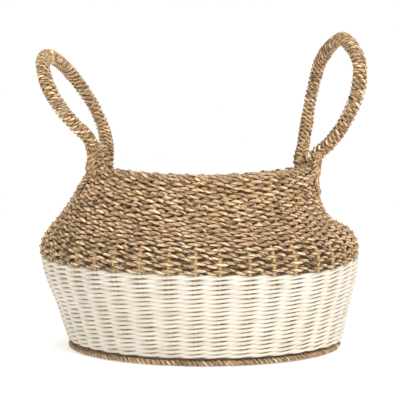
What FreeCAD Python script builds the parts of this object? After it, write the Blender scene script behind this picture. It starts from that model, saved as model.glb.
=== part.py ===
import FreeCAD, Part
import math
import os

import Sketcher
from FreeCAD import Placement, Rotation, Vector

# Seagrass storage basket: a woven belly basket with a pale lower wall and two rope handles.
# Units are millimetres and degrees. +Z is up, the origin is on the floor under the middle of
# the basket, +X points to the right-hand handle and +Y to the back.

DIMENSIONS = [
    # alias, value, what it is
    ("footOuterRadius", 138.7, "outside of the braid that the basket stands on"),
    ("footInnerRadius", 131.0, "inside of that braid"),
    ("footHeight", 6.4, "height of that braid"),
    ("footChamfer", 1.8, "chamfer on its edges"),
    ("baseCentreX", 4.8, "the base sits a little to the right of the belly"),
    ("baseCordRadius", 1.9, "corner radius of the eight-sided cords of the base"),
    ("baseCordHeight", 4.6, "height of the middle of those cords"),
    ("baseCordPitch", 4.3, "distance between two rounds of the base"),
    ("stickRadius", 1.5, "corner radius of the six-sided sticks across the base"),
    ("stickPitch", 5.6, "distance between two neighbouring sticks"),
    ("stickReach", 124.0, "half the length of a stick"),
    ("bandHeight", 87.0, "mean height of the line between pale and seagrass weaving"),
    ("sideOvality", 0.988, "depth of a course divided by its width"),
    ("whiteCordRadius", 1.88, "corner radius of a pale course"),
    ("seagrassCordRadius", 2.75, "corner radius of a seagrass course"),
    ("rimCordRadius", 4.1, "corner radius of the rim border"),
    ("rimTopHeight", 173.2, "mean height of the top of the rim"),
    ("bandSaddle", 3.4, "rise of that line at the ends, and its drop at front and back"),
    ("rimSaddle", 5.2, "rise of the rim at the ends, and its drop at front and back"),
    ("bandSag", 4.0, "extra drop of the line at one place on the front"),
    ("bandSagAngle", 311.0, "where that place is, in degrees from +X"),
    ("bandSagWidth", 22.0, "how wide that place is, in degrees"),
    ("firstStakeAngle", 7.5, "where the first side stake stands, in degrees from +X"),
    ("stakeRadius", 1.45, "corner radius of the six-sided side stakes"),
    ("stakeClearance", 0.12, "air between a cord and what it lies on"),
    ("stakeInset", 1.3, "extra room between the stakes and the courses"),
    ("handleCoreRadius", 4.5, "corner radius of the rope inside a handle"),
    ("handleWrapRadius", 7.3, "corner radius of the cord wound round it"),
    ("handleFitClearance", 0.1, "air between that rope and the winding"),
    ("hingeHeight", 190.0, "height of the line that each handle tilts about"),
    ("hingeHalfSpan", 47.0, "half the distance between the two feet of a handle"),
    ("knotRadius", 7.0, "radius of the knot at each foot"),
    ("knotGap", 0.05, "air between a knot and the end of the rope"),
    ("strapRadius", 1.3, "corner radius of a lashing that goes over the rim"),
    ("strapOffset", 9.3, "distance from a knot to the lashing beside it"),
    ("strapPitch", 3.1, "distance between two neighbouring lashings"),
    ("tailRadius", 2.6, "corner radius of a cord end that runs down the wall"),
    ("tailLength", 30.0, "length of a cord end on the wall"),
    ("tailRowHeight", 6.1, "height of the rows that a cord end runs down over"),
    ("tailGap", 0.9, "air between a cord end and the wall"),
]
WHITE_COURSES = 19
SEAGRASS_COURSES = 16
SIDE_STAKES = 40
STICKS_EACH_WAY = 5
STRAPS_EACH_SIDE = 2
STRAP_BENDS = (-75, -40, 0, 40, 75)  # degrees from the top of the rim that a lashing passes
RING_STATIONS = 24
SEAM_GAP = 0.15  # degrees left open where a course meets its own start
STAKE_STATIONS = 18
END_SHARE_POWER = 1.4  # how much of the wall takes the left outline rather than the right one
SAG_FADE = 0.5  # share of the band's height over which the sag dies out above it
STICK_LAYER_STEP = 1.05  # height of a layer of base sticks, in stick diameters
TAIL_DRIFT = (8, -5)  # degrees that an outer and an inner cord end run aside

# Outlines of the wall's middle line, as (distance from the axis, height), from the foot
# to the belly and from the belly to the rim. The left end is a plain cone above the belly;
# the right end is hollow, with a shelf over the belly.
WHITE_LEFT = [(131.4, 9.4), (137.2, 24.0), (144.0, 44.0), (152.6, 64.0), (157.9, 85.0)]
WHITE_RIGHT = [(142.0, 9.4), (145.5, 24.0), (150.0, 44.0), (154.8, 64.0), (157.6, 85.0)]
UPPER_LEFT = [(158.9, 91.0), (158.6, 100.0), (149.0, 115.5), (136.5, 130.0),
              (124.5, 148.0), (112.2, 168.0)]
UPPER_RIGHT = [(157.4, 91.0), (157.2, 101.0), (150.5, 111.5), (133.0, 121.0),
               (119.5, 142.0), (118.4, 168.0)]

# Middle lines of the two handles above their feet, as (x, y, z), from the near foot over
# the top to the far foot. The near leg of each leans out further than the far leg.
LEFT_ARCH = [(-108.0, -60.0, 208.0), (-129.0, -73.5, 231.0), (-144.5, -72.0, 256.0),
             (-153.0, -49.0, 281.0), (-152.0, 0.0, 292.5), (-140.5, 53.0, 283.0),
             (-121.0, 74.0, 256.0), (-107.5, 72.0, 229.0), (-101.0, 61.0, 208.0)]
RIGHT_ARCH = [(126.5, -58.0, 204.0), (140.0, -71.0, 226.0), (150.0, -76.0, 253.0),
              (152.5, -61.0, 283.0), (144.0, -2.0, 310.2), (131.0, 56.0, 297.0),
              (122.5, 75.0, 264.0), (116.5, 72.0, 232.0), (110.5, 57.0, 203.0)]
LEFT_FEET_X = (-101.0, -98.5)
RIGHT_FEET_X = (112.0, 106.0)

doc = FreeCAD.newDocument("SeagrassBasket")
sizes = doc.addObject("Spreadsheet::Sheet", "Sizes")
for row, (alias, number, note) in enumerate(DIMENSIONS, start=1):
    sizes.set(f"A{row}", alias)
    sizes.set(f"B{row}", str(number))
    sizes.set(f"C{row}", note)
    sizes.setAlias(f"B{row}", alias)
doc.recompute()

subparts = []


def size(alias):
    return float(sizes.get(alias))


def keep(thing, label):
    """Name a finished sub-part after its file and put it on the list to be written."""
    thing.Label = label
    subparts.append(thing)
    return thing


def bundle(label, members):
    """Several solids that are one sub-part."""
    group = doc.addObject("Part::Compound", label + "_group")
    group.Links = members
    return group


def blend(low, high, share):
    return low + (high - low) * share


def spline(points):
    curve = Part.BSplineCurve()
    curve.interpolate(points)
    return curve


# ---------------------------------------------------------------- the wall's surface
def even_points(outline, count):
    """Points at equal steps along a smooth outline, its two ends included."""
    curve = spline([Vector(out, 0, up) for out, up in outline])
    return curve.toShape().discretize(Number=count)


def course_outlines():
    """The left and right (out, up) places of every course of the wall, bottom first."""
    left = even_points(WHITE_LEFT, WHITE_COURSES)
    right = even_points(WHITE_RIGHT, WHITE_COURSES)
    left += even_points(UPPER_LEFT, SEAGRASS_COURSES)
    right += even_points(UPPER_RIGHT, SEAGRASS_COURSES)
    return list(zip(left, right))


COURSE_OUTLINES = course_outlines()


def band_sag(angle):
    away = (math.degrees(angle) - size("bandSagAngle") + 180) % 360 - 180
    return size("bandSag") * math.exp(-((away / size("bandSagWidth")) ** 2))


def saddle(angle, height):
    """How far a course at this height is lifted at this angle round the basket."""
    band, rim = size("bandHeight"), size("rimTopHeight")
    if height < band:
        rise = size("bandSaddle") * height / band
        sag = band_sag(angle) * (height / band) ** 2
    else:
        rise = blend(size("bandSaddle"), size("rimSaddle"), (height - band) / (rim - band))
        sag = band_sag(angle) * max(0.0, 1 - (height - band) / (SAG_FADE * band))
    return rise * math.cos(2 * angle) - sag


def wall_point(left, right, angle):
    """The middle of the wall at an angle, between its left and its right outline."""
    share = (0.5 + 0.5 * math.cos(angle)) ** END_SHARE_POWER
    out = blend(left.x, right.x, share)
    height = blend(left.z, right.z, share)
    height += saddle(angle, height)
    deep = out * size("sideOvality")
    return Vector(out * math.cos(angle), deep * math.sin(angle), height)


def course_point(number, angle):
    left, right = COURSE_OUTLINES[number]
    return wall_point(left, right, angle)


def inside_point(number, angle, depth):
    """A place inside the wall, measured square to it from the middle of a course."""
    last = len(COURSE_OUTLINES) - 1
    below = course_point(max(number - 1, 0), angle)
    above = course_point(min(number + 1, last), angle)
    round_way = Vector(-above.y, above.x, 0)
    inward = (above - below).cross(round_way).normalize()
    return course_point(number, angle) + inward * depth


# ---------------------------------------------------------------- cords as sweeps
def stretches(curve):
    """A spline cut at its knots, so that the faces swept along it are short."""
    knots = curve.getKnots()
    edges = []
    for start, end in zip(knots, knots[1:]):
        piece = curve.copy()
        piece.segment(start, end)
        edges.append(piece.toShape())
    return edges


def cord(label, points, radius_alias, sides=8, start_out=None):
    """A cord of constant section: a polygon bound to the sheet, swept along a spline."""
    curve = spline(points)
    route = doc.addObject("Part::Feature", label + "_route")
    route.Shape = Part.Wire(stretches(curve))
    start = curve.value(curve.FirstParameter)
    along = curve.tangent(curve.FirstParameter)[0]
    out = start_out or Vector(start.x, start.y, 0)
    section = doc.addObject("Part::RegularPolygon", label + "_section")
    section.Polygon = sides
    section.setExpression("Circumradius", "Sizes." + radius_alias)
    flat_turn = Rotation(Vector(0, 0, 1), 180 / sides)
    section.Placement = Placement(start, Rotation(out, Vector(), along, "ZXY") * flat_turn)
    sweep = doc.addObject("Part::Sweep", label + "_sweep")
    sweep.Sections = [section]
    sweep.Spine = (route, [f"Edge{count + 1}" for count in range(len(route.Shape.Edges))])
    sweep.Solid = True
    sweep.Frenet = False
    return sweep


def ring_points(place_at, seam):
    """Points once round the basket, from one side of the seam to its other side."""
    first = seam + math.radians(SEAM_GAP) / 2
    turn = 2 * math.pi - math.radians(SEAM_GAP)
    return [place_at(first + turn * step / RING_STATIONS) for step in range(RING_STATIONS + 1)]


def make_course(label, number, radius_alias):
    seam = math.pi / 2 + number * math.radians(9)
    points = ring_points(lambda angle: course_point(number, angle), seam)
    return keep(cord(label, points, radius_alias), label)


def rim_place(angle):
    """The middle of the rim border, which lies on the last course."""
    place = course_point(WHITE_COURSES + SEAGRASS_COURSES - 1, angle)
    place.z += size("seagrassCordRadius") + size("rimCordRadius")
    return place


def make_rim():
    keep(cord("rim_border", ring_points(rim_place, math.pi / 2), "rimCordRadius"), "rim_border")


# ---------------------------------------------------------------- the base
def origin_plane(body, role):
    return [feature for feature in body.Origin.OriginFeatures if feature.Role == role][0]


def make_foot():
    """The braid under the basket: a chamfered band turned round the vertical axis."""
    body = doc.addObject("PartDesign::Body", "FootBraid")
    sketch = body.newObject("Sketcher::SketchObject", "FootSection")
    sketch.AttachmentSupport = (origin_plane(body, "XZ_Plane"), "")
    sketch.MapMode = "FlatFace"
    low, high = size("footInnerRadius"), size("footOuterRadius")
    tall, cut = size("footHeight"), size("footChamfer")
    corners = [(low + cut, 0), (high - cut, 0), (high, cut), (high, tall - cut),
               (high - cut, tall), (low + cut, tall), (low, tall - cut), (low, cut)]
    points = [Vector(x, y, 0) for x, y in corners]
    for index, point in enumerate(points):
        sketch.addGeometry(Part.LineSegment(point, points[(index + 1) % len(points)]))
    for index in range(len(points)):
        following = (index + 1) % len(points)
        sketch.addConstraint(Sketcher.Constraint("Coincident", index, 2, following, 1))
    bound = [
        ("innerFlat", "DistanceX", 0, 1, "Sizes.footInnerRadius + Sizes.footChamfer"),
        ("outerFlat", "DistanceX", 0, 2, "Sizes.footOuterRadius - Sizes.footChamfer"),
        ("outerWall", "DistanceX", 2, 1, "Sizes.footOuterRadius"),
        ("outerWallTop", "DistanceX", 2, 2, "Sizes.footOuterRadius"),
        ("topOuter", "DistanceX", 4, 1, "Sizes.footOuterRadius - Sizes.footChamfer"),
        ("topInner", "DistanceX", 4, 2, "Sizes.footInnerRadius + Sizes.footChamfer"),
        ("innerWallTop", "DistanceX", 6, 1, "Sizes.footInnerRadius"),
        ("innerWall", "DistanceX", 6, 2, "Sizes.footInnerRadius"),
        ("outerLow", "DistanceY", 2, 1, "Sizes.footChamfer"),
        ("outerHigh", "DistanceY", 2, 2, "Sizes.footHeight - Sizes.footChamfer"),
        ("topLeft", "DistanceY", 4, 1, "Sizes.footHeight"),
        ("topRight", "DistanceY", 4, 2, "Sizes.footHeight"),
        ("innerHigh", "DistanceY", 6, 1, "Sizes.footHeight - Sizes.footChamfer"),
        ("innerLow", "DistanceY", 6, 2, "Sizes.footChamfer"),
    ]
    for name, kind, edge, end, expression in bound:
        start = sketch.getPoint(edge, end)
        now = start.x if kind == "DistanceX" else start.y
        sketch.addConstraint(Sketcher.Constraint(kind, -1, 1, edge, end, now))
        last = sketch.ConstraintCount - 1
        sketch.renameConstraint(last, name)
        sketch.setExpression("Constraints." + name, expression)
    for end in (1, 2):
        sketch.addConstraint(Sketcher.Constraint("PointOnObject", 0, end, -1))
    doc.recompute()
    turned = body.newObject("PartDesign::Revolution", "FootTurned")
    turned.Profile = sketch
    turned.ReferenceAxis = (sketch, ["V_Axis"])
    turned.Angle = 360
    body.setExpression("Placement.Base.x", "Sizes.baseCentreX")
    keep(body, "foot_braid")


def make_base_round(label, number):
    """One round of the base: an eight-sided cord turned round the middle of the base."""
    section = doc.addObject("Part::RegularPolygon", label + "_section")
    section.Polygon = 8
    section.setExpression("Circumradius", "Sizes.baseCordRadius")
    turn = Rotation(Vector(1, 0, 0), 90) * Rotation(Vector(0, 0, 1), 22.5)
    section.Placement = Placement(Vector(0, 0, 0), turn)
    place_x = f"Sizes.baseCentreX + Sizes.baseCordPitch * {number}"
    section.setExpression("Placement.Base.x", place_x)
    section.setExpression("Placement.Base.z", "Sizes.baseCordHeight")
    ring = doc.addObject("Part::Revolution", label + "_ring")
    ring.Source = section
    ring.Axis = Vector(0, 0, 1)
    ring.setExpression("Base.x", "Sizes.baseCentreX")
    ring.Angle = 360
    ring.Solid = True
    return ring


def make_base_rounds():
    room = size("footInnerRadius") - size("baseCordRadius")
    count = int(room / size("baseCordPitch"))
    rounds = []
    for number in range(1, count + 1):
        rounds.append(make_base_round(f"base_round_{number:02d}", number))
    half = len(rounds) // 2
    keep(bundle("base_rounds_inner", rounds[:half]), "base_rounds_inner")
    keep(bundle("base_rounds_outer", rounds[half:]), "base_rounds_outer")


def make_sticks(label, layer, turn):
    """Parallel sticks across the base, one layer of the cross that the weaving starts on."""
    rods = []
    for number in range(STICKS_EACH_WAY):
        offset = number - (STICKS_EACH_WAY - 1) / 2
        rod = doc.addObject("Part::Prism", f"{label}_{number + 1}")
        rod.Polygon = 6
        rod.setExpression("Circumradius", "Sizes.stickRadius")
        rod.setExpression("Height", "2 * Sizes.stickReach")
        lie = Rotation(Vector(0, 0, 1), turn) * Rotation(Vector(0, 1, 0), 90)
        along = Rotation(Vector(0, 0, 1), turn).multVec(Vector(1, 0, 0))
        aside = Rotation(Vector(0, 0, 1), turn).multVec(Vector(0, 1, 0))
        rise = (2 * layer + 1) * STICK_LAYER_STEP * size("stickRadius")
        lift = size("baseCordHeight") + size("baseCordRadius") + rise
        middle = Vector(size("baseCentreX"), 0, lift) + aside * (offset * size("stickPitch"))
        rod.Placement = Placement(middle - along * size("stickReach"), lie)
        rods.append(rod)
    keep(bundle(label, rods), label)


# ---------------------------------------------------------------- the side stakes
def make_stakes():
    """The upright stakes, on the inner side of the courses that are woven round them."""
    stakes = []
    top = WHITE_COURSES + SEAGRASS_COURSES - 1
    picks = [round(step * top / (STAKE_STATIONS - 1)) for step in range(STAKE_STATIONS)]
    for number in range(SIDE_STAKES):
        angle = math.radians(size("firstStakeAngle") + 360 * number / SIDE_STAKES)
        outward = Vector(math.cos(angle), math.sin(angle), 0)
        points = []
        for pick in picks:
            cord_alias = "whiteCordRadius" if pick < WHITE_COURSES else "seagrassCordRadius"
            depth = size(cord_alias) + size("stakeRadius")
            depth += size("stakeClearance") + size("stakeInset")
            points.append(inside_point(pick, angle, depth))
        stakes.append(cord(f"side_stake_{number + 1:02d}", points, "stakeRadius", 6, outward))
    keep(bundle("side_stakes", stakes), "side_stakes")


# ---------------------------------------------------------------- the handles
def arch_points(feet_x, arch):
    """The handle's middle line, with its two ends on the faces of the knots at its feet."""
    span, lift = size("hingeHalfSpan"), size("hingeHeight")
    ends = []
    for foot, first in ((Vector(feet_x[0], -span, lift), Vector(*arch[0])),
                        (Vector(feet_x[1], span, lift), Vector(*arch[-1]))):
        toward = (first - foot).normalize()
        ends.append(foot + toward * (size("knotRadius") + size("knotGap")))
    return [ends[0]] + [Vector(*place) for place in arch] + [ends[1]]


def make_handle(side, feet_x, arch):
    points = arch_points(feet_x, arch)
    out = Vector(math.copysign(1, feet_x[0]), 0, 0)
    core = cord(f"{side}_handle_core", points, "handleCoreRadius", 8, out)
    keep(core, f"{side}_handle_core")
    outer = cord(f"{side}_handle_outer", points, "handleWrapRadius", 8, out)
    inner = cord(f"{side}_handle_inner", points, "handleCoreRadius", 8, out)
    section = doc.getObject(f"{side}_handle_inner_section")
    section.setExpression("Circumradius", "Sizes.handleCoreRadius + Sizes.handleFitClearance")
    wrap = doc.addObject("Part::Cut", f"{side}_handle_wrap_cut")
    wrap.Base = outer
    wrap.Tool = inner
    keep(wrap, f"{side}_handle_wrap")
    knots = []
    for name, foot_x, sign in (("near", feet_x[0], -1), ("far", feet_x[1], 1)):
        knot = doc.addObject("Part::Sphere", f"{side}_{name}_knot")
        knot.setExpression("Radius", "Sizes.knotRadius")
        knot.Placement.Base = Vector(foot_x, 0, 0)
        knot.setExpression("Placement.Base.y", f"{sign} * Sizes.hingeHalfSpan")
        knot.setExpression("Placement.Base.z", "Sizes.hingeHeight")
        knots.append(knot)
    keep(bundle(f"{side}_knots", knots), f"{side}_handle_knots")


def foot_angle(foot_x, foot_y):
    return math.atan2(foot_y / size("sideOvality"), foot_x)


def make_lashing(side, name, angle):
    """Short cords laid over the rim, side by side, that hold a foot of the handle down."""
    straps = []
    reach = size("rimCordRadius") + size("strapRadius") + size("stakeClearance")
    middle_rim = rim_place(angle)
    radius = math.hypot(middle_rim.x, middle_rim.y)
    places = []
    for number in range(STRAPS_EACH_SIDE):
        aside = size("strapOffset") + number * size("strapPitch")
        places += [-aside, aside]
    for number, aside in enumerate(sorted(places)):
        turn = angle + aside / radius
        rim = rim_place(turn)
        outward = Vector(math.cos(turn), math.sin(turn), 0)
        points = []
        for bend in STRAP_BENDS:
            lean = math.radians(bend)
            above = Vector(0, 0, reach * math.cos(lean))
            points.append(rim + outward * (reach * math.sin(lean)) + above)
        sideways = Vector(-outward.y, outward.x, 0)
        label = f"{side}_{name}_strap_{number + 1}"
        straps.append(cord(label, points, "strapRadius", 6, sideways))
    keep(bundle(f"{side}_{name}_lashing", straps), f"{side}_handle_{name}_lashing")


def tail_points(angle, drift, side_sign):
    """A cord end that lies on the wall below a foot: on its outside, or on its inside."""
    total = WHITE_COURSES + SEAGRASS_COURSES
    cover = size("seagrassCordRadius") + size("tailRadius") + size("tailGap")
    if side_sign < 0:
        cover += 2 * size("stakeRadius") + size("stakeClearance") + size("stakeInset")
    rows = int(size("tailLength") / size("tailRowHeight"))
    points = []
    for step in range(rows + 1):
        here = angle + math.radians(drift) * step / rows
        points.append(inside_point(total - 1 - step, here, -side_sign * cover))
    return points


def make_tail(side, name, angle, drift, side_sign):
    label = f"{side}_{name}_tail" if side_sign > 0 else f"{side}_{name}_inner_tail"
    outward = Vector(math.cos(angle), math.sin(angle), 0)
    return cord(label, tail_points(angle, drift, side_sign), "tailRadius", 6, outward)


def make_feet(side, feet_x):
    span = size("hingeHalfSpan")
    inner_tails = []
    for name, foot_x, sign in (("near", feet_x[0], -1), ("far", feet_x[1], 1)):
        angle = foot_angle(foot_x, sign * span)
        toward_end = -1 if (foot_x > 0) == (sign > 0) else 1
        make_lashing(side, name, angle)
        outer_drift, inner_drift = (drift * toward_end for drift in TAIL_DRIFT)
        outer_tail = make_tail(side, name, angle, outer_drift, 1)
        keep(outer_tail, f"{side}_handle_{name}_tail")
        inner_tails.append(make_tail(side, name, angle, inner_drift, -1))
    keep(bundle(f"{side}_inner_tails", inner_tails), f"{side}_handle_inner_tails")


# ---------------------------------------------------------------- the whole basket
def make_basket():
    make_foot()
    make_base_rounds()
    make_sticks("base_sticks_lengthwise", 0, 0)
    make_sticks("base_sticks_crosswise", 1, 90)
    for number in range(WHITE_COURSES):
        make_course(f"white_course_{number + 1:02d}", number, "whiteCordRadius")
    for number in range(SEAGRASS_COURSES):
        label = f"seagrass_course_{number + 1:02d}"
        make_course(label, WHITE_COURSES + number, "seagrassCordRadius")
    make_stakes()
    make_rim()
    handles = (("left", LEFT_FEET_X, LEFT_ARCH), ("right", RIGHT_FEET_X, RIGHT_ARCH))
    for side, feet_x, arch in handles:
        make_handle(side, feet_x, arch)
        make_feet(side, feet_x)
    doc.recompute()


def check_and_write():
    for thing in doc.Objects:
        if "Invalid" in thing.State or "Error" in thing.State:
            raise RuntimeError(f"{thing.Name} failed: {thing.State}")
    for thing in subparts:
        if thing.Shape.isNull() or not thing.Shape.isValid():
            raise RuntimeError(f"{thing.Label} has no valid shape")
    os.makedirs("parts", exist_ok=True)
    for thing in subparts:
        thing.Shape.exportStep(f"parts/{thing.Label}.step")
        print(f"{thing.Label}: {len(thing.Shape.Solids)} solid(s), {thing.Shape.Volume:.0f} mm3")


make_basket()
check_and_write()
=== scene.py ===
import math
import bpy
import bmesh
import numpy as np
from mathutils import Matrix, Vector


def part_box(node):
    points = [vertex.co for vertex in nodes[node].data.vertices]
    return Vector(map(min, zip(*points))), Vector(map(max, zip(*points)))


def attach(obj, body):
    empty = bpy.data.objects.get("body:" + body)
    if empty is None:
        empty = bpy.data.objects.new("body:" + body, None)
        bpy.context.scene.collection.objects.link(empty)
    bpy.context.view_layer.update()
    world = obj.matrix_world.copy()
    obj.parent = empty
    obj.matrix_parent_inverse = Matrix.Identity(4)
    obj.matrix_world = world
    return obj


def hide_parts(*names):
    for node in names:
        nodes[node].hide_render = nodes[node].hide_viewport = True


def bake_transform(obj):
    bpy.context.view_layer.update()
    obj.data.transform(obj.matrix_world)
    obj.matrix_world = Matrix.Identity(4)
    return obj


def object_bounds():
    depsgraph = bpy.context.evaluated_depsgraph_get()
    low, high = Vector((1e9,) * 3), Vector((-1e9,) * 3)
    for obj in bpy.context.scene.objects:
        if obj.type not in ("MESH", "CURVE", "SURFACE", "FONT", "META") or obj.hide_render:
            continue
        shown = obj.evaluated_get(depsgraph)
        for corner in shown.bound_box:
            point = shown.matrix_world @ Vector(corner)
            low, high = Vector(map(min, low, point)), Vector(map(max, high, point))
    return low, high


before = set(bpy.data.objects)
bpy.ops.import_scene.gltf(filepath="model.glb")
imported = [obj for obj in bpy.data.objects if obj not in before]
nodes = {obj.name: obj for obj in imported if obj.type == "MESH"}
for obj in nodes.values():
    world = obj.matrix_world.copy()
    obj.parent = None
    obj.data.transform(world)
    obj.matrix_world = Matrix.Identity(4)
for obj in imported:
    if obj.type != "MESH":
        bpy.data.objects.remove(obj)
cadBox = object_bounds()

mm = 0.001
rng = np.random.default_rng(7)
whiteNames = sorted(name for name in nodes if name.startswith("white_course"))
seagrassNames = sorted(name for name in nodes if name.startswith("seagrass_course"))
courseNames = whiteNames + seagrassNames
print("frame loaded,", len(courseNames), "courses")


# the camera and the studio come first
studio = {
    "cameraPlace": (0.0, -1.1, 0.175),
    "lookDown": 1.49,          # degrees
    "lens": 96.9,
    "floorSize": 6.0,
    "floorGlow": 0.34,         # keeps the far floor as pale as the sky behind it
    "keyLight": 31.0,
    "fillLight": 5.0,
    "topLight": 14.0,
    "skyLight": 0.68,          # what the sky adds to the light; it is seen as plain white
}


def makeStudio():
    scene = bpy.context.scene
    cameraData = bpy.data.cameras.new("camera")
    cameraData.lens = studio["lens"]
    camera = bpy.data.objects.new("camera", cameraData)
    camera.location = studio["cameraPlace"]
    camera.rotation_euler = (math.radians(90 - studio["lookDown"]), 0, 0)
    scene.collection.objects.link(camera)
    scene.camera = camera
    scene.view_settings.view_transform = "Standard"

    world = bpy.data.worlds.new("studioSky")
    world.use_nodes = True
    tree = world.node_tree
    background = tree.nodes["Background"]
    background.inputs["Color"].default_value = (1, 1, 1, 1)
    path = tree.nodes.new("ShaderNodeLightPath")
    level = tree.nodes.new("ShaderNodeMapRange")
    level.inputs["To Min"].default_value = studio["skyLight"]
    level.inputs["To Max"].default_value = 1.0
    tree.links.new(path.outputs["Is Camera Ray"], level.inputs["Value"])
    tree.links.new(level.outputs["Result"], background.inputs["Strength"])
    scene.world = world

    lights = (
        ("keyLight", (1.15, -1.6, 1.5), 1.1),
        ("fillLight", (-1.5, -1.3, 1.0), 1.4),
        ("topLight", (0.2, 0.5, 1.9), 1.3),
    )
    for name, place, size in lights:
        lamp = bpy.data.lights.new(name, "AREA")
        lamp.energy = studio[name]
        lamp.size = size
        holder = bpy.data.objects.new(name, lamp)
        holder.location = place
        aim = Vector((0, 0, 0.13)) - Vector(place)
        holder.rotation_euler = aim.to_track_quat("-Z", "Y").to_euler()
        scene.collection.objects.link(holder)

    shape = bmesh.new()
    bmesh.ops.create_grid(shape, x_segments=1, y_segments=1, size=studio["floorSize"] / 2)
    bmesh.ops.translate(shape, verts=shape.verts, vec=(0, 0, cadBox[0][2] - 0.0002))
    mesh = bpy.data.meshes.new("floor")
    shape.to_mesh(mesh)
    shape.free()
    floor = bpy.data.objects.new("floor", mesh)
    scene.collection.objects.link(floor)
    paint = bpy.data.materials.new("floorPaint")
    paint.use_nodes = True
    shader = paint.node_tree.nodes["Principled BSDF"]
    shader.inputs["Base Color"].default_value = (0.93, 0.93, 0.93, 1)
    shader.inputs["Roughness"].default_value = 0.9
    shader.inputs["Emission Color"].default_value = (1, 1, 1, 1)
    shader.inputs["Emission Strength"].default_value = studio["floorGlow"]
    mesh.materials.append(paint)


makeStudio()
print("studio ready")


def tone(red, green, blue):
    # a screen colour, 0 to 255, as the linear colour a shader takes
    def linear(level):
        level /= 255
        return level / 12.92 if level <= 0.04045 else ((level + 0.055) / 1.055) ** 2.4
    return (linear(red), linear(green), linear(blue), 1)


class Finish:  # a material, with short ways to add and link its nodes
    def __init__(self, name, roughness, specular=0.3):
        self.material = bpy.data.materials.new(name)
        self.material.use_nodes = True
        self.tree = self.material.node_tree
        self.shader = self.tree.nodes["Principled BSDF"]
        self.shader.inputs["Roughness"].default_value = roughness
        self.shader.inputs["Specular IOR Level"].default_value = specular

    def add(self, kind, **settings):
        node = self.tree.nodes.new(kind)
        for key, value in settings.items():
            setattr(node, key, value)
        return node

    def feed(self, socket, value):
        if isinstance(value, bpy.types.NodeSocket):
            self.tree.links.new(value, socket)
        else:
            socket.default_value = value

    def cordPlace(self):
        # the UV map runs along a cord in metres and once round it
        split = self.add("ShaderNodeSeparateXYZ")
        self.feed(split.inputs[0], self.add("ShaderNodeUVMap", uv_map="UVMap").outputs[0])
        return split.outputs[0], split.outputs[1]

    def maths(self, operation, *values):
        node = self.add("ShaderNodeMath", operation=operation)
        for socket, value in zip(node.inputs, values):
            self.feed(socket, value)
        return node.outputs[0]

    def noise(self, vector, scale, detail=2.0, rough=0.5):
        node = self.add("ShaderNodeTexNoise")
        self.feed(node.inputs["Vector"], vector)
        self.feed(node.inputs["Scale"], scale)
        self.feed(node.inputs["Detail"], detail)
        self.feed(node.inputs["Roughness"], rough)
        return node.outputs["Fac"]

    def place(self, x, y, z=0.0):
        node = self.add("ShaderNodeCombineXYZ")
        for socket, value in zip(node.inputs, (x, y, z)):
            self.feed(socket, value)
        return node.outputs[0]

    def ramp(self, value, stops):
        node = self.add("ShaderNodeValToRGB")
        self.feed(node.inputs[0], value)
        ramp = node.color_ramp
        while len(ramp.elements) < len(stops):
            ramp.elements.new(0.5)
        for element, (position, colour) in zip(ramp.elements, stops):
            element.position = position
            element.color = colour
        return node.outputs["Color"]

    def mix(self, share, first, second, blend="MIX"):
        node = self.add("ShaderNodeMix", data_type="RGBA", blend_type=blend)
        # the sockets that take colours come after those for numbers and vectors
        for number, value in ((0, share), (6, first), (7, second)):
            self.feed(node.inputs[number], value)
        return node.outputs[2]

    def paintCreviceShade(self, colour, shadow, start, end, amount):
        # painted shade: darker where a cord goes down between its neighbours, in the crevices of
        # the weave
        depth = self.add("ShaderNodeAttribute", attribute_name="depth").outputs["Fac"]
        reach = self.add("ShaderNodeMapRange", interpolation_type="SMOOTHSTEP")
        for name, value in (("Value", depth), ("From Min", start), ("From Max", end),
                            ("To Min", amount), ("To Max", 0.0)):
            self.feed(reach.inputs[name], value)
        return self.mix(reach.outputs["Result"], colour, shadow)

    def bump(self, height, strength, distance):
        node = self.add("ShaderNodeBump")
        self.feed(node.inputs["Height"], height)
        self.feed(node.inputs["Strength"], strength)
        self.feed(node.inputs["Distance"], distance)
        self.tree.links.new(node.outputs["Normal"], self.shader.inputs["Normal"])


twistedFinish = {
    "bladeLength": 0.030,      # metres of one blade of grass before the next takes over
    "strokesAlong": 120.0,     # streaks in a metre of cord
    "strokesAround": 10.0,
    "plyGrooveShade": 0.75,         # painted shade: how dark the line between the two plies is
    "fibreBump": 0.9,
    "tint": (1.0, 0.945, 0.93),
    "shadeFrom": 0.3,          # millimetres from the middle of the wall
    "shadeTo": 2.3,
    "shade": 0.86,
}


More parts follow.
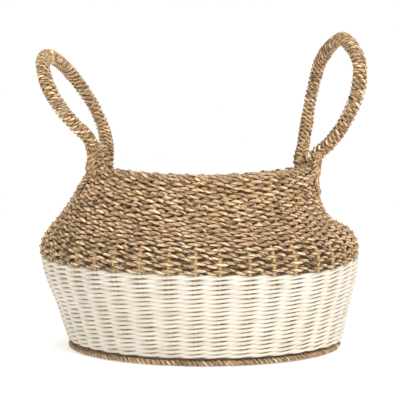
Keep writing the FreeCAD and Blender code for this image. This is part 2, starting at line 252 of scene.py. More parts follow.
def makeTwistedFinish(name, stops, gain, paintedShade=False):
    # grass twisted into a cord of two plies, with blades of several colours
    look = twistedFinish
    finish = Finish(name, 0.7, 0.3)
    along, around = finish.cordPlace()
    turned = finish.maths("ADD", finish.maths("MULTIPLY", around, 2.0), 0.5)
    ply = finish.maths("FLOOR", turned)
    blade = finish.place(finish.maths("DIVIDE", along, look["bladeLength"]),
                         finish.maths("MULTIPLY", around, 1.6), finish.maths("MULTIPLY", ply, 0.8))
    strand = finish.place(finish.maths("MULTIPLY", along, look["strokesAlong"]),
                          finish.maths("MULTIPLY", around, look["strokesAround"]), ply)
    fibre = finish.noise(strand, 1.0, 3.0, 0.62)
    fine = finish.noise(finish.place(finish.maths("MULTIPLY", along, look["strokesAlong"] * 1.3),
                                     finish.maths("MULTIPLY", around, look["strokesAround"] * 2.6),
                                     7.0), 1.0, 2.0, 0.6)
    hue = finish.maths("ADD", finish.maths("MULTIPLY", finish.noise(blade, 1.0, 2.0, 0.6), 0.55),
                       finish.maths("MULTIPLY", fine, 0.45))
    hue = finish.maths("MULTIPLY_ADD", hue, 4.0, -1.42)
    colour = finish.ramp(hue, stops)
    streak = finish.ramp(fibre, [(0.36, (0.22, 0.18, 0.14, 1)), (0.46, (0.80, 0.77, 0.72, 1)),
                                 (0.56, (1.25, 1.22, 1.15, 1)), (0.66, (2.0, 1.95, 1.85, 1))])
    colour = finish.mix(1.0, colour, streak, "MULTIPLY")
    # painted shade darkens the groove between the two plies
    wave = finish.maths("SINE", finish.maths("MULTIPLY", around, 2 * math.pi))
    valley = finish.maths("POWER", finish.maths("ABSOLUTE", wave), 6.0)
    shade = finish.maths("MULTIPLY", valley, look["plyGrooveShade"])
    colour = finish.mix(shade, colour, (0.035, 0.022, 0.012, 1))
    tint = tuple(gain * share for share in look["tint"]) + (1,)
    colour = finish.mix(1.0, colour, tint, "MULTIPLY")
    # painted shade in the crevices between the seagrass courses
    if paintedShade:
        colour = finish.paintCreviceShade(colour, (0.030, 0.019, 0.010, 1), look["shadeFrom"],
                               look["shadeTo"], look["shade"])
    finish.feed(finish.shader.inputs["Base Color"], colour)
    relief = finish.maths("ADD", fibre, finish.maths("MULTIPLY", fine, 0.5))
    finish.bump(relief, look["fibreBump"], 0.0012)
    return finish.material


straw, tan, umber = tone(222, 198, 158), tone(192, 164, 126), tone(120, 94, 66)
olive, rosy, bark = tone(164, 150, 112), tone(198, 164, 134), tone(82, 62, 42)
grassStops = [(0.0, bark), (0.14, umber), (0.30, olive), (0.48, tan), (0.64, rosy),
              (0.82, straw), (1.0, tone(236, 218, 182))]


brightness = {"seagrass": 1.16, "rim": 0.92, "foot": 0.95, "handle": 1.08}
whiteLook = {
    "dull": tone(200, 189, 171),
    "middle": tone(221, 213, 199),
    "clean": tone(234, 227, 215),
    "shade": 0.7,              # painted shade: how dark the cord gets where it goes down at a stake
    "shadeTo": 0.9,            # millimetres from the middle of the wall
    "fibreBump": 0.35,
}


def makeWhiteFinish(name):
    finish = Finish(name, 0.62, 0.3)
    along, around = finish.cordPlace()
    slow = finish.noise(finish.place(finish.maths("MULTIPLY", along, 26.0), around), 1.0, 3.0, 0.6)
    colour = finish.ramp(slow, [(0.28, whiteLook["dull"]), (0.50, whiteLook["middle"]),
                                (0.72, whiteLook["clean"])])
    strand = finish.place(finish.maths("MULTIPLY", along, 140.0),
                          finish.maths("MULTIPLY", around, 18.0))
    fibre = finish.noise(strand, 1.0, 3.0, 0.6)
    streak = finish.ramp(fibre, [(0.30, (0.86, 0.85, 0.82, 1)), (0.55, (1, 1, 1, 1))])
    colour = finish.mix(1.0, colour, streak, "MULTIPLY")
    # painted shade where the white cords go down at a stake, between their neighbours
    colour = finish.paintCreviceShade(colour, (0.10, 0.070, 0.040, 1), 0.0, whiteLook["shadeTo"],
                           whiteLook["shade"])
    finish.feed(finish.shader.inputs["Base Color"], colour)
    finish.bump(fibre, whiteLook["fibreBump"], 0.0005)
    return finish.material


def makeStakeFinish(name):
    finish = Finish(name, 0.5, 0.4)
    along, around = finish.cordPlace()
    strand = finish.place(finish.maths("MULTIPLY", along, 22.0),
                          finish.maths("MULTIPLY", around, 14.0))
    fibre = finish.noise(strand, 1.0, 3.0, 0.6)
    colour = finish.ramp(fibre, [(0.25, tone(166, 132, 84)), (0.5, tone(210, 180, 124)),
                                 (0.75, tone(232, 210, 164))])
    finish.feed(finish.shader.inputs["Base Color"], colour)
    finish.bump(fibre, 0.3, 0.0005)
    return finish.material


grassFinish = makeTwistedFinish("seagrassCord", grassStops, brightness["seagrass"], True)
rimFinish = makeTwistedFinish("rimCord", grassStops, brightness["rim"])
footFinish = makeTwistedFinish("footCord", grassStops, brightness["foot"])
handleFinish = makeTwistedFinish("handleCord", grassStops, brightness["handle"])
whiteFinish = makeWhiteFinish("whiteCord")
stakeFinish = makeStakeFinish("stakeCane")
print("finishes ready")


# a cord is a section swept along strands and turned into a closed mesh
def sectionShape(name, points):
    data = bpy.data.curves.new(name, "CURVE")
    data.dimensions = "2D"
    outline = data.splines.new("POLY")
    outline.points.add(len(points) - 1)
    for point, (x, y) in zip(outline.points, points):
        point.co = (x, y, 0, 1)
    outline.use_cyclic_u = True
    holder = bpy.data.objects.new(name, data)
    bpy.context.scene.collection.objects.link(holder)
    return holder


def lobedSection(name, radius, lobes, depth, sides, flat=1.0):
    # a round or flattened section with as many swellings as the cord has plies
    points = []
    for side in range(sides):
        angle = -2 * math.pi * side / sides
        reach = radius * (1 + depth * math.cos(lobes * angle)) / (1 + depth)
        points.append((reach * math.cos(angle), reach * math.sin(angle) * flat))
    return sectionShape(name, points)


def ribbonSection(name, halfHeight, halfDepth, sides, square):
    # a flat cord's section, between an ellipse (1) and a box (near 0)
    points = []
    for side in range(sides):
        angle = -2 * math.pi * (side + 0.5) / sides
        x, y = math.cos(angle), math.sin(angle)
        points.append((halfHeight * math.copysign(abs(x) ** square, x),
                       halfDepth * math.copysign(abs(y) ** square, y)))
    return sectionShape(name, points)


def arcLength(points, closed):
    steps = np.diff(np.vstack([points, points[:1]]) if closed else points, axis=0)
    return float(np.linalg.norm(steps, axis=1).sum())


def cordMesh(name, strands, section, closed, upright=True):
    # strands: a list of (points, turn, radius), all with the same number of points
    data = bpy.data.curves.new(name, "CURVE")
    data.dimensions = "3D"
    data.bevel_mode = "OBJECT"
    data.bevel_object = section
    data.use_fill_caps = not closed
    data.twist_mode = "Z_UP" if upright else "MINIMUM"
    for points, turn, radius in strands:
        line = data.splines.new("POLY")
        line.points.add(len(points) - 1)
        line.points.foreach_set("co", np.hstack([points, np.ones((len(points), 1))]).ravel())
        line.points.foreach_set("tilt", np.asarray(turn, dtype=float))
        line.points.foreach_set("radius", np.asarray(radius, dtype=float))
        line.use_cyclic_u = closed
    holder = bpy.data.objects.new(name + "Line", data)
    bpy.context.scene.collection.objects.link(holder)
    reach = bpy.context.evaluated_depsgraph_get()
    mesh = bpy.data.meshes.new_from_object(holder.evaluated_get(reach))
    bpy.data.objects.remove(holder)
    bpy.data.curves.remove(data)
    mesh.name = name
    # the UV map runs along each strand in metres, from a different start for each
    marks = np.empty(len(mesh.loops) * 2)
    layer = mesh.uv_layers[0]
    layer.name = "UVMap"
    layer.data.foreach_get("uv", marks)
    marks = marks.reshape(len(strands), -1, 2)
    for number, (points, turn, radius) in enumerate(strands):
        marks[number, :, 0] *= arcLength(points, closed)
        marks[number, :, 0] += rng.uniform(0, 8)
    layer.data.foreach_set("uv", marks.ravel())
    return mesh


def finishPiece(name, mesh, material, body, cadNodes):
    shape = bmesh.new()
    shape.from_mesh(mesh)
    bmesh.ops.remove_doubles(shape, verts=shape.verts, dist=1e-7)
    bmesh.ops.recalc_face_normals(shape, faces=shape.faces)
    for face in shape.faces:
        face.smooth = True
    shape.to_mesh(mesh)
    shape.free()
    mesh.materials.clear()
    mesh.materials.append(material)
    piece = bpy.data.objects.new(name, mesh)
    bpy.context.scene.collection.objects.link(piece)
    if body:
        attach(piece, body)
    if cadNodes:
        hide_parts(*cadNodes)
    return piece


def smoothNoise(angles, waves, size):
    # a gentle closed random curve round the basket
    total = np.zeros_like(angles)
    for wave in waves:
        total += np.sin(wave * angles + rng.uniform(0, 2 * math.pi)) * rng.uniform(0.5, 1.0)
    return size * total / len(waves)


def ringWaves(angle):
    # nine waves round the basket follow a course closely enough
    columns = [np.ones_like(angle)]
    for wave in range(1, 10):
        columns += [np.cos(wave * angle), np.sin(wave * angle)]
    return np.stack(columns, axis=1)


def ringFit(name):
    # the middle line of a CAD course: how far out and how far up it is at any angle
    places = np.array([vertex.co for vertex in nodes[name].data.vertices])
    table = ringWaves(np.arctan2(places[:, 1], places[:, 0]))
    out = np.linalg.lstsq(table, np.hypot(places[:, 0], places[:, 1]), rcond=None)[0]
    up = np.linalg.lstsq(table, places[:, 2], rcond=None)[0]
    return {"out": out, "up": up}


def ringAt(fit, angle):
    table = ringWaves(angle)
    return table @ fit["out"], table @ fit["up"]


rimFit = ringFit("rim_border")
allFits = [ringFit(name) for name in courseNames] + [rimFit]

wall = {
    "stakes": 40,
    "firstStake": 7.5,         # degrees from +X
    "stakeJitter": 0.9,        # degrees that a stake stands out of place
    "stakeDrift": 0.6,         # degrees that it wanders on its way up
    "rimRadius": 118.0 * mm,   # turns a distance along the rim into an angle
}
spacing = 2 * math.pi / wall["stakes"]
stakeOffsets = rng.normal(0, math.radians(wall["stakeJitter"]) * 0.6, wall["stakes"])
stakeDrifts = rng.uniform(-1, 1, wall["stakes"]) * math.radians(wall["stakeDrift"])
stakeSwing = rng.uniform(0, 2 * math.pi, wall["stakes"])


def stakeAngles(level):
    # where each stake stands at a course; level runs from 0 at the foot to 1 at the rim
    numbers = np.arange(wall["stakes"])
    return (math.radians(wall["firstStake"]) + numbers * spacing + stakeOffsets
            + stakeDrifts * np.sin(2.5 * level + stakeSwing))


def wallFrame(index, angle):
    # the middle of a course, with the directions out of the wall and up along it
    out, up = ringAt(allFits[index], angle)
    lowOut, lowUp = ringAt(allFits[max(index - 1, 0)], angle)
    highOut, highUp = ringAt(allFits[min(index + 1, len(allFits) - 1)], angle)
    alongOut, alongUp = highOut - lowOut, highUp - lowUp
    length = np.hypot(alongOut, alongUp)
    steps = min(index + 1, len(allFits) - 1) - max(index - 1, 0)
    pitch = length / steps
    return out, up, alongOut / length, alongUp / length, pitch


def smoothPath(corners, step=None, count=None):
    # a smooth line through the corners, as points at even steps
    corners = np.asarray(corners, dtype=float)
    padded = np.vstack([2 * corners[0] - corners[1], corners, 2 * corners[-1] - corners[-2]])
    fine = []
    for a, b, c, d in zip(padded, padded[1:], padded[2:], padded[3:]):
        for share in np.linspace(0, 1, 40, endpoint=False):
            fine.append(0.5 * (2 * b + (c - a) * share + (2 * a - 5 * b + 4 * c - d) * share ** 2
                               + (3 * b - a - 3 * c + d) * share ** 3))
    fine.append(corners[-1])
    fine = np.array(fine)
    run = np.concatenate([[0], np.cumsum(np.linalg.norm(np.diff(fine, axis=0), axis=1))])
    count = count or int(round(run[-1] / step)) + 1
    even = np.linspace(0, run[-1], count)
    return np.stack([np.interp(even, run, fine[:, axis]) for axis in range(3)], axis=1), run[-1]


def ringPoints(out, up, angle):
    return np.stack([out * np.cos(angle), out * np.sin(angle), up], axis=1)


def wallPlace(index, angle, outward):
    out, up, alongOut, alongUp, pitch = wallFrame(index, np.array([angle]))
    return ringPoints(out + outward * alongUp, up - outward * alongOut, np.array([angle]))[0]


seagrassCourse = {
    "pointsPerStake": 20,
    "swing": 2.5 * mm,         # how far the cords go out and in at a stake
    "lift": 0.235,             # how far they go up and down between stakes, in courses
    "radius": 2.36 * mm,
    "thicker": 0.32 * mm,       # extra radius towards the rim
    "pulled": 0.17,            # how much thinner a cord is over a stake, at the lowest course
    "twistLength": 19.0 * mm,  # one full turn of the two plies
    "inset": 0.4 * mm,
    "wander": 0.45 * mm,       # slow and quick unevenness along a cord
    "ripple": 0.35 * mm,
    "uneven": 0.12,            # in thickness
}
whiteCourse = {
    "pointsPerStake": 10,
    "swing": 1.3 * mm,
    "lift": 0.17,
    "height": 2.05 * mm,       # half height of the flat cord
    "depth": 1.3 * mm,
    "square": 0.5,
    "inset": 0.1 * mm,
    "spread": 0.34,            # how much wider a cord lies between two stakes than over one
    "wander": 0.34 * mm,
    "ripple": 0.26 * mm,
    "uneven": 0.10,
}


def weaveCourse(index, look, twisted):
    level = index / (len(courseNames) - 1)
    count = look["pointsPerStake"] * wall["stakes"]
    angle = 2 * math.pi * np.arange(count) / count
    stakes = stakeAngles(level)
    known = np.concatenate([[stakes[-1] - 2 * math.pi], stakes, [stakes[0] + 2 * math.pi]])
    phase = math.pi * np.interp(angle, known, np.arange(-1, wall["stakes"] + 1))
    out, up, alongOut, alongUp, pitch = wallFrame(index, angle)
    wander = smoothNoise(angle, (3, 5, 8, 13), look["wander"])
    strands = []
    for strand in range(2):
        turn = phase + math.pi * strand
        ripple = smoothNoise(angle, (17, 23, 31, 41), look["ripple"])
        outward = look["swing"] * np.cos(turn) - look["inset"] + ripple * 0.6
        along = look["lift"] * pitch * np.sin(turn) + wander + ripple
        # out of the wall is square to its own direction up
        r = out + outward * alongUp + along * alongOut
        z = up - outward * alongOut + along * alongUp
        points = ringPoints(r, z, angle)
        girth = 1 + smoothNoise(angle, (7, 19, 37, 53), look["uneven"])
        if twisted:
            height = (index - len(whiteNames)) / (len(seagrassNames) - 1)
            girth = girth * (1 - look["pulled"] * (1 - height) * np.cos(turn) ** 2)
            turns = round(arcLength(points, True) / look["twistLength"])
            tilt = 2 * math.pi * turns * np.arange(count) / count
            tilt = tilt + smoothNoise(angle, (5, 11, 17), 0.8)
        else:
            girth = girth * (1 + look["spread"] * np.sin(turn) ** 2)
            tilt = -np.arctan2(alongOut, alongUp) + smoothNoise(angle, (9, 21, 33), 0.12)
        strands.append((points, tilt, girth))
    return strands


def markDepth(mesh, index):
    # how far each point lies in front of or behind the middle of the wall, in millimetres
    places = np.empty(len(mesh.vertices) * 3)
    mesh.vertices.foreach_get("co", places)
    places = places.reshape(-1, 3)
    angle = np.arctan2(places[:, 1], places[:, 0])
    out, up, alongOut, alongUp, pitch = wallFrame(index, angle)
    away = np.hypot(places[:, 0], places[:, 1]) - out
    depth = np.abs(away * alongUp - (places[:, 2] - up) * alongOut) / mm
    mesh.attributes.new("depth", "FLOAT", "POINT").data.foreach_set("value", depth)


def makeCourses():
    whiteSection = ribbonSection("whiteSection", whiteCourse["height"], whiteCourse["depth"], 8,
                                 whiteCourse["square"])
    for index, name in enumerate(courseNames):
        if name in whiteNames:
            strands = weaveCourse(index, whiteCourse, False)
            mesh = cordMesh(name + "_weave", strands, whiteSection, True)
            markDepth(mesh, index)
            finishPiece(name + "_weave", mesh, whiteFinish, "basket", [name])
        else:
            height = (index - len(whiteNames)) / (len(seagrassNames) - 1)
            radius = seagrassCourse["radius"] + seagrassCourse["thicker"] * height
            section = lobedSection("grassSection", radius, 2, 0.26, 10)
            strands = weaveCourse(index, seagrassCourse, True)
            mesh = cordMesh(name + "_weave", strands, section, True)
            markDepth(mesh, index)
            finishPiece(name + "_weave", mesh, grassFinish, "basket", [name])
            bpy.data.objects.remove(section)
    bpy.data.objects.remove(whiteSection)


makeCourses()
print("courses woven")


stakeLook = {"radius": 1.9 * mm, "inset": 0.9 * mm}


def makeStakes():
    section = lobedSection("stakeSection", stakeLook["radius"], 2, 0.0, 8)
    strands = []
    levels = len(courseNames)
    angles = np.array([stakeAngles(index / (levels - 1)) for index in range(levels)])
    for number in range(wall["stakes"]):
        points = []
        for index in range(levels):
            angle = angles[index, number:number + 1]
            out, up, alongOut, alongUp, pitch = wallFrame(index, angle)
            inset = stakeLook["inset"]
            points.append(ringPoints(out - inset * alongUp, up + inset * alongOut, angle)[0])
        points = np.array(points)
        strands.append((points, np.zeros(levels), 1 + rng.normal(0, 0.06, levels)))
    mesh = cordMesh("stakes", strands, section, False, upright=False)
    finishPiece("stakes", mesh, stakeFinish, "basket", ["side_stakes"])
    bpy.data.objects.remove(section)


endLook = {"radius": 1.25 * mm, "row": 4, "aside": 0.020, "scatter": 0.012, "reach": 3.3 * mm}


def makeStakeEnds():
    # the stakes turn down at the rim and their cut ends show a few courses below it
    section = lobedSection("endSection", endLook["radius"], 2, 0.0, 8)
    top = len(courseNames) - 1
    strands = []
    for angle in stakeAngles(0.9):
        start = angle + endLook["aside"] + rng.normal(0, endLook["scatter"])
        row = top - endLook["row"] + int(rng.integers(-1, 2))
        above, below = wallPlace(row + 1, start, 0.0), wallPlace(row, start, endLook["reach"])
        outside = wallPlace(row + 1, start, endLook["reach"])
        line = [above, (above + below) / 2, below * 0.8 + outside * 0.2]
        points, length = smoothPath(line, count=6)
        strands.append((points, np.zeros(6), np.ones(6)))
    mesh = cordMesh("stake_ends", strands, section, False, upright=False)
    finishPiece("stake_ends", mesh, stakeFinish, "basket", None)
    bpy.data.objects.remove(section)


makeStakes()
makeStakeEnds()
print("stakes set")


rimLook = {"pointsPerStake": 24, "swing": 2.4 * mm, "lift": 1.5 * mm, "radius": 2.6 * mm,
           "twistLength": 11.0 * mm, "sink": 1.2 * mm, "sway": 0.6 * mm, "dip": 0.7 * mm}
footLook = {"points": 1400, "plaits": 58, "side": 2.1 * mm, "rise": 0.8 * mm, "radius": 1.8 * mm,
            "twistLength": 12.0 * mm, "halfWidth": 3.9 * mm, "clear": 0.15 * mm}
baseLook = {"pitch": 4.3 * mm, "swing": 1.5 * mm, "lift": 1.05 * mm, "height": 1.9 * mm,
            "flat": 0.7, "middle": 4.9 * mm, "fewSpokesInside": 55 * mm}


def makeRim():
    # three cords laid round each other along the top edge
    count = rimLook["pointsPerStake"] * wall["stakes"]
    angle = 2 * math.pi * np.arange(count) / count
    out, up = ringAt(rimFit, angle)
    strands = []
    for strand in range(3):
        turn = angle * wall["stakes"] * 2 / 3 + 2 * math.pi * strand / 3
        sway = smoothNoise(angle, (5, 9, 14, 31), rimLook["sway"])
        sway = sway + rimLook["dip"] * np.cos(angle * wall["stakes"] + 1.0)
        points = ringPoints(out + rimLook["swing"] * np.cos(turn),
                            up - rimLook["sink"] + rimLook["lift"] * np.sin(turn) + sway, angle)
        turns = round(arcLength(points, True) / rimLook["twistLength"])
        tilt = 2 * math.pi * turns * np.arange(count) / count
        strands.append((points, tilt, 1 + smoothNoise(angle, (13, 29, 47), 0.14)))
    section = lobedSection("rimSection", rimLook["radius"], 2, 0.26, 10)
    mesh = cordMesh("rim_weave", strands, section, True)
    finishPiece("rim_weave", mesh, rimFinish, "basket", ["rim_border"])
    bpy.data.objects.remove(section)


def makeFoot():
    # a plait of three cords
    count = footLook["points"]
    angle = 2 * math.pi * np.arange(count) / count
    low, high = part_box("foot_braid")
    centreX = (low[0] + high[0]) / 2
    radius = (high[0] - low[0]) / 2 - footLook["halfWidth"]
    middle = low[2] + footLook["rise"] + footLook["radius"] + footLook["clear"]
    uneven = smoothNoise(angle, (7, 19, 26, 41), 0.9)
    strands = []
    for strand in range(3):
        turn = angle * footLook["plaits"] + uneven + 2 * math.pi * strand / 3
        out = radius + footLook["side"] * np.sin(turn) * (1 + 0.3 * uneven)
        up = middle + footLook["rise"] * np.sin(2 * turn)
        points = ringPoints(out, up, angle)
        points[:, 0] += centreX
        turns = round(arcLength(points, True) / footLook["twistLength"])
        tilt = 2 * math.pi * turns * np.arange(count) / count
        strands.append((points, tilt, 1 + smoothNoise(angle, (13, 29, 47), 0.10)))
    section = lobedSection("footSection", footLook["radius"], 2, 0.22, 8)
    mesh = cordMesh("foot_plait", strands, section, True)
    finishPiece("foot_plait", mesh, footFinish, "basket", ["foot_braid"])
    bpy.data.objects.remove(section)


def makeBaseRounds(name, firstRound, lastRound, node):
    low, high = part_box("foot_braid")
    centreX = (low[0] + high[0]) / 2
    section = lobedSection("baseSection", baseLook["height"], 2, 0.0, 6, baseLook["flat"])
    count = 320
    angle = 2 * math.pi * np.arange(count) / count
    strands = []
    for number in range(firstRound, lastRound + 1):
        radius = number * baseLook["pitch"]
        spokes = 20 if radius < baseLook["fewSpokesInside"] else 40
        for strand in range(2):
            turn = spokes / 2 * angle + math.pi * strand + number * 0.06
            out = radius + baseLook["lift"] * np.sin(turn)
            up = baseLook["middle"] + baseLook["swing"] * np.cos(turn)
            points = ringPoints(out, up, angle)
            points[:, 0] += centreX
            strands.append((points, np.full(count, math.pi / 2), np.ones(count)))
    mesh = cordMesh(name, strands, section, True)
    finishPiece(name, mesh, whiteFinish, "basket", [node])
    bpy.data.objects.remove(section)


def makeSticks(node):
    # the crossed sticks in the middle of the base
    low, high = (Vector(corner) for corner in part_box(node))
    lengthwise = high.x - low.x > high.y - low.y
    middle = (low + high) / 2
    radius = (high.z - low.z) / 2
    reach = (high.x - low.x) / 2 if lengthwise else (high.y - low.y) / 2
    width = (high.y - low.y if lengthwise else high.x - low.x) - 2 * radius
    section = lobedSection("stickSection", radius, 2, 0.0, 8)
    strands = []
    for number in range(5):
        aside = width * (number / 4 - 0.5)
        count = 24
        run = np.linspace(-reach, reach, count)
        bend = smoothNoise(run * 12, (1, 2, 3), 0.5 * mm)
        if lengthwise:
            points = np.stack([middle.x + run, middle.y + aside + bend,
                               np.full(count, middle.z)], axis=1)
        else:
            points = np.stack([middle.x + aside + bend, middle.y + run,
                               np.full(count, middle.z)], axis=1)
        strands.append((points, np.zeros(count), 1 + rng.normal(0, 0.03, count)))
    mesh = cordMesh(node + "_cane", strands, section, False, upright=True)
    finishPiece(node + "_cane", mesh, stakeFinish, "basket", [node])
    bpy.data.objects.remove(section)


makeRim()
makeFoot()
makeBaseRounds("base_rounds_inner_weave", 1, 15, "base_rounds_inner")
makeBaseRounds("base_rounds_outer_weave", 16, 30, "base_rounds_outer")
makeSticks("base_sticks_lengthwise")
makeSticks("base_sticks_crosswise")
print("rim, foot and base made")


# millimetres from the floor under the middle of the basket
handleLook = {
    "left": {
        "nearFoot": (-101.0, -47.0, 190.0),
        "farFoot": (-98.5, 47.0, 190.0),
        "arch": [(-108.0, -60.0, 208.0), (-129.0, -73.5, 231.0), (-144.5, -72.0, 256.0),
                 (-153.0, -49.0, 281.0), (-152.0, 0.0, 292.5), (-140.5, 53.0, 283.0),
                 (-121.0, 74.0, 256.0), (-107.5, 72.0, 229.0), (-101.0, 61.0, 208.0)],
    },
    "right": {
        "nearFoot": (112.0, -47.0, 190.0),
        "farFoot": (106.0, 47.0, 190.0),
        "arch": [(126.5, -58.0, 204.0), (140.0, -71.0, 226.0), (150.0, -76.0, 253.0),
                 (152.5, -61.0, 283.0), (144.0, -2.0, 310.2), (131.0, 56.0, 297.0),
                 (122.5, 75.0, 264.0), (116.5, 72.0, 232.0), (110.5, 57.0, 203.0)],
    },
    "rootDrop": 9.0 * mm,      # how far the winding goes down past the foot
    "turnPitch": 5.0 * mm,
    "windRadius": 5.1 * mm,
    "cordRadius": 2.45 * mm,
    "coreRadius": 4.3 * mm,
    "twistLength": 10.5 * mm,
    "pointsPerTurn": 20,
    "softFrom": -8 * mm,       # heights above the feet
    "softTo": 14 * mm,
}


def carriedFrames(points):
    # two directions square to the line, carried along it without twisting
    tangents = np.gradient(points, axis=0)
    tangents /= np.linalg.norm(tangents, axis=1)[:, None]
    side = np.cross(tangents[0], (1.0, 0.0, 0.0))
    side /= np.linalg.norm(side)
    sides = []
    for tangent in tangents:
        side = side - tangent * side.dot(tangent)
        side /= np.linalg.norm(side)
        sides.append(side)
    sides = np.array(sides)
    return sides, np.cross(tangents, sides)


def handleLine(side):
    look = handleLook[side]
    drop = np.array([0, 0, handleLook["rootDrop"]])
    near, far = np.array(look["nearFoot"]) * mm, np.array(look["farFoot"]) * mm
    arch = np.array(look["arch"]) * mm
    return np.vstack([near - drop, near, arch, far, far - drop])


def makeHandle(side):
    body = side + "_handle"
    step = handleLook["turnPitch"] / handleLook["pointsPerTurn"]
    line, length = smoothPath(handleLine(side), step)
    sides, others = carriedFrames(line)
    run = np.arange(len(line)) * step
    turn = 2 * math.pi * run / handleLook["turnPitch"]
    turn = turn + 0.5 * np.sin(run / 0.021) + 0.3 * np.sin(run / 0.0093)
    wobble = handleLook["windRadius"] + 0.25 * mm * np.sin(run / 0.0131 + 1.0)
    wind = (line + sides * (wobble * np.cos(turn))[:, None]
            + others * (wobble * np.sin(turn))[:, None])
    tilt = 2 * math.pi * np.arange(len(line)) * (arcLength(wind, False) / len(line))
    tilt = tilt / handleLook["twistLength"]
    girth = 1 + 0.08 * np.sin(run / 0.0057) * np.sin(run / 0.0231)
    section = lobedSection("handleSection", handleLook["cordRadius"], 2, 0.28, 10)
    mesh = cordMesh(body + "_winding", [(wind, tilt, girth)], section, False, upright=False)
    foot = Vector((np.array(handleLook[side]["nearFoot"]) + handleLook[side]["farFoot"]) * mm / 2)
    piece = finishPiece(body + "_winding", mesh, handleFinish, None, None)
    bpy.data.objects.remove(section)
    section = lobedSection("coreSection", handleLook["coreRadius"], 6, 0.08, 12)
    coarse, length = smoothPath(handleLine(side), 4 * mm)
    core = cordMesh(body + "_rope", [(coarse, np.linspace(0, 30, len(coarse)),
                                      np.ones(len(coarse)))], section, False, upright=False)
    rope = finishPiece(body + "_rope", core, handleFinish, None, None)
    bpy.data.objects.remove(section)
    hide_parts(side + "_handle_wrap", side + "_handle_knots")
    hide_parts(side + "_handle_core")
    return piece, rope, foot


def footAngle(place):
    return math.atan2(place[1], place[0])


tailLook = {"radius": 2.1 * mm, "twistLength": 10.5 * mm, "cords": 3, "spread": 3.1 * mm,
            "cover": 4.9 * mm, "over": 1.2 * mm, "drift": 8.0, "innerDrift": 0.6}
strapLook = {"radius": 1.75 * mm, "cords": 5, "pitch": 3.3 * mm, "reach": 4.9 * mm,
             "halfWrap": 1.95, "slant": 0.03}


def makeTails(side, name, place, drift, inside, node):
    # cord ends that come from the foot, lie on the wall and go into the weave
    section = lobedSection("tailSection", tailLook["radius"], 2, 0.28, 10)
    angle = footAngle(place)
    reach = -1.0 if inside else 1.0
    top = len(allFits) - 1
    cover = reach * tailLook["cover"]
    strands = []
    for cord in range(tailLook["cords"]):
        aside = (cord - (tailLook["cords"] - 1) / 2) * tailLook["spread"] / wall["rimRadius"]
        foot = np.array(place) * mm + np.array([0, 0, -3 * mm])
        corners = [foot, wallPlace(top, angle + aside * 0.6, cover + reach * tailLook["over"])]
        rows = 4 if inside else 5
        for row in range(1, rows + 1):
            lean = angle + aside + drift * row / rows
            depth = cover if row < rows else -reach * 0.5 * mm
            corners.append(wallPlace(top - row, lean, depth))
        line, length = smoothPath(corners, count=32)
        tilt = 2 * math.pi * np.linspace(0, length / tailLook["twistLength"], len(line)) + cord
        strands.append((line, tilt, np.ones(len(line))))
    label = f"{side}_{name}_{'inner_' if inside else ''}tails"
    mesh = cordMesh(label, strands, section, False, upright=False)
    finishPiece(label, mesh, handleFinish, "basket", node)
    bpy.data.objects.remove(section)


def makeStraps(side, name, place, node):
    # turns of cord over the rim that hold the foot down
    section = lobedSection("strapSection", strapLook["radius"], 2, 0.25, 10)
    angle = footAngle(place)
    strands = []
    for cord in range(strapLook["cords"]):
        aside = (cord - (strapLook["cords"] - 1) / 2) * strapLook["pitch"] / wall["rimRadius"]
        here = angle + aside
        out, up = ringAt(rimFit, np.array([here]))
        turns = np.linspace(-strapLook["halfWrap"], strapLook["halfWrap"], 30)
        slant = here + strapLook["slant"] * turns / strapLook["halfWrap"]
        r = out[0] + strapLook["reach"] * np.sin(turns)
        z = up[0] - 0.9 * mm + strapLook["reach"] * np.cos(turns) * 1.05
        line = ringPoints(r, z, slant)
        tilt = 2 * math.pi * np.linspace(0, 2.2, 30) + cord
        strands.append((line, tilt, 1 + rng.normal(0, 0.03, 30)))
    label = f"{side}_{name}_straps"
    mesh = cordMesh(label, strands, section, False, upright=False)
    finishPiece(label, mesh, handleFinish, "basket", [node])
    bpy.data.objects.remove(section)


splayLook = {
    "radius": 2.0 * mm,
    "twistLength": 10.0 * mm,
    "cords": 6,
    "spread": 30.0,            # degrees round the leg between two neighbouring cords
    "climb": 17.0 * mm,        # how far up the leg they start
    "reach": 6.6 * mm,         # from the middle of the leg
    "fan": 4.6 * mm,           # distance between two cords where they enter the wall
    "overRim": 6.4 * mm,
    "aboveRim": 2.6 * mm,
}


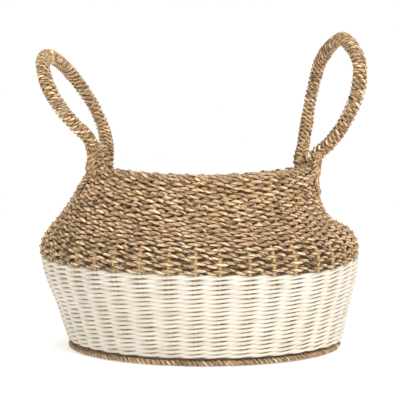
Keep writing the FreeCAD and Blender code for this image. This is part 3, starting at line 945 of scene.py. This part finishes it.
def makeSplay(side, name, place):
    # cords that come down the leg, spread over the rim and go into the weave
    section = lobedSection("splaySection", splayLook["radius"], 2, 0.28, 10)
    line = handleLine(side)
    line = line if name == "near" else line[::-1]
    leg, length = smoothPath(line, 1 * mm)
    angle = footAngle(place)
    outward = np.array([math.cos(angle), math.sin(angle), 0.0])
    sideways = np.array([-outward[1], outward[0], 0.0])
    top = len(allFits) - 1
    rise = int(round((handleLook["rootDrop"] + splayLook["climb"]) / mm))
    strands = []
    for cord in range(splayLook["cords"]):
        share = cord - (splayLook["cords"] - 1) / 2
        lean = math.radians(share * splayLook["spread"])
        radial = (outward * math.cos(lean) + sideways * math.sin(lean)) * splayLook["reach"]
        aside = share * splayLook["fan"] / wall["rimRadius"]
        lift = np.array([0, 0, splayLook["aboveRim"]])
        corners = [leg[rise] + radial * 0.55, leg[rise - 5] + radial,
                   leg[rise - 12] + radial * 1.05,
                   wallPlace(top, angle + aside * 0.75, splayLook["overRim"]) + lift,
                   wallPlace(top - 1, angle + aside, 4.2 * mm),
                   wallPlace(top - 2, angle + aside * 1.08, 0.5 * mm)]
        line, length = smoothPath(corners, count=30)
        tilt = 2 * math.pi * np.linspace(0, length / splayLook["twistLength"], len(line)) + cord
        strands.append((line, tilt, 1 + rng.normal(0, 0.03, len(line))))
    label = f"{side}_{name}_splay"
    mesh = cordMesh(label, strands, section, False, upright=False)
    piece = finishPiece(label, mesh, handleFinish, None, None)
    bpy.data.objects.remove(section)
    return piece


for side in ("left", "right"):
    piece, rope, foot = makeHandle(side)
    softPieces = [piece, rope]
    for name, key in (("near", "nearFoot"), ("far", "farFoot")):
        softPieces.append(makeSplay(side, name, handleLook[side][key]))
    for soft in softPieces:
        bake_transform(soft)
    toEnd = -1 if side == "left" else 1
    for name, key, way in (("near", "nearFoot", toEnd), ("far", "farFoot", -toEnd)):
        place = handleLook[side][key]
        drift = math.radians(way * tailLook["drift"])
        makeTails(side, name, place, drift, False, [f"{side}_handle_{name}_tail"])
        makeTails(side, name, place, -drift * tailLook["innerDrift"], True,
                  [f"{side}_handle_inner_tails"] if name == "far" else None)
        makeStraps(side, name, place, f"{side}_handle_{name}_lashing")
print("handles made")
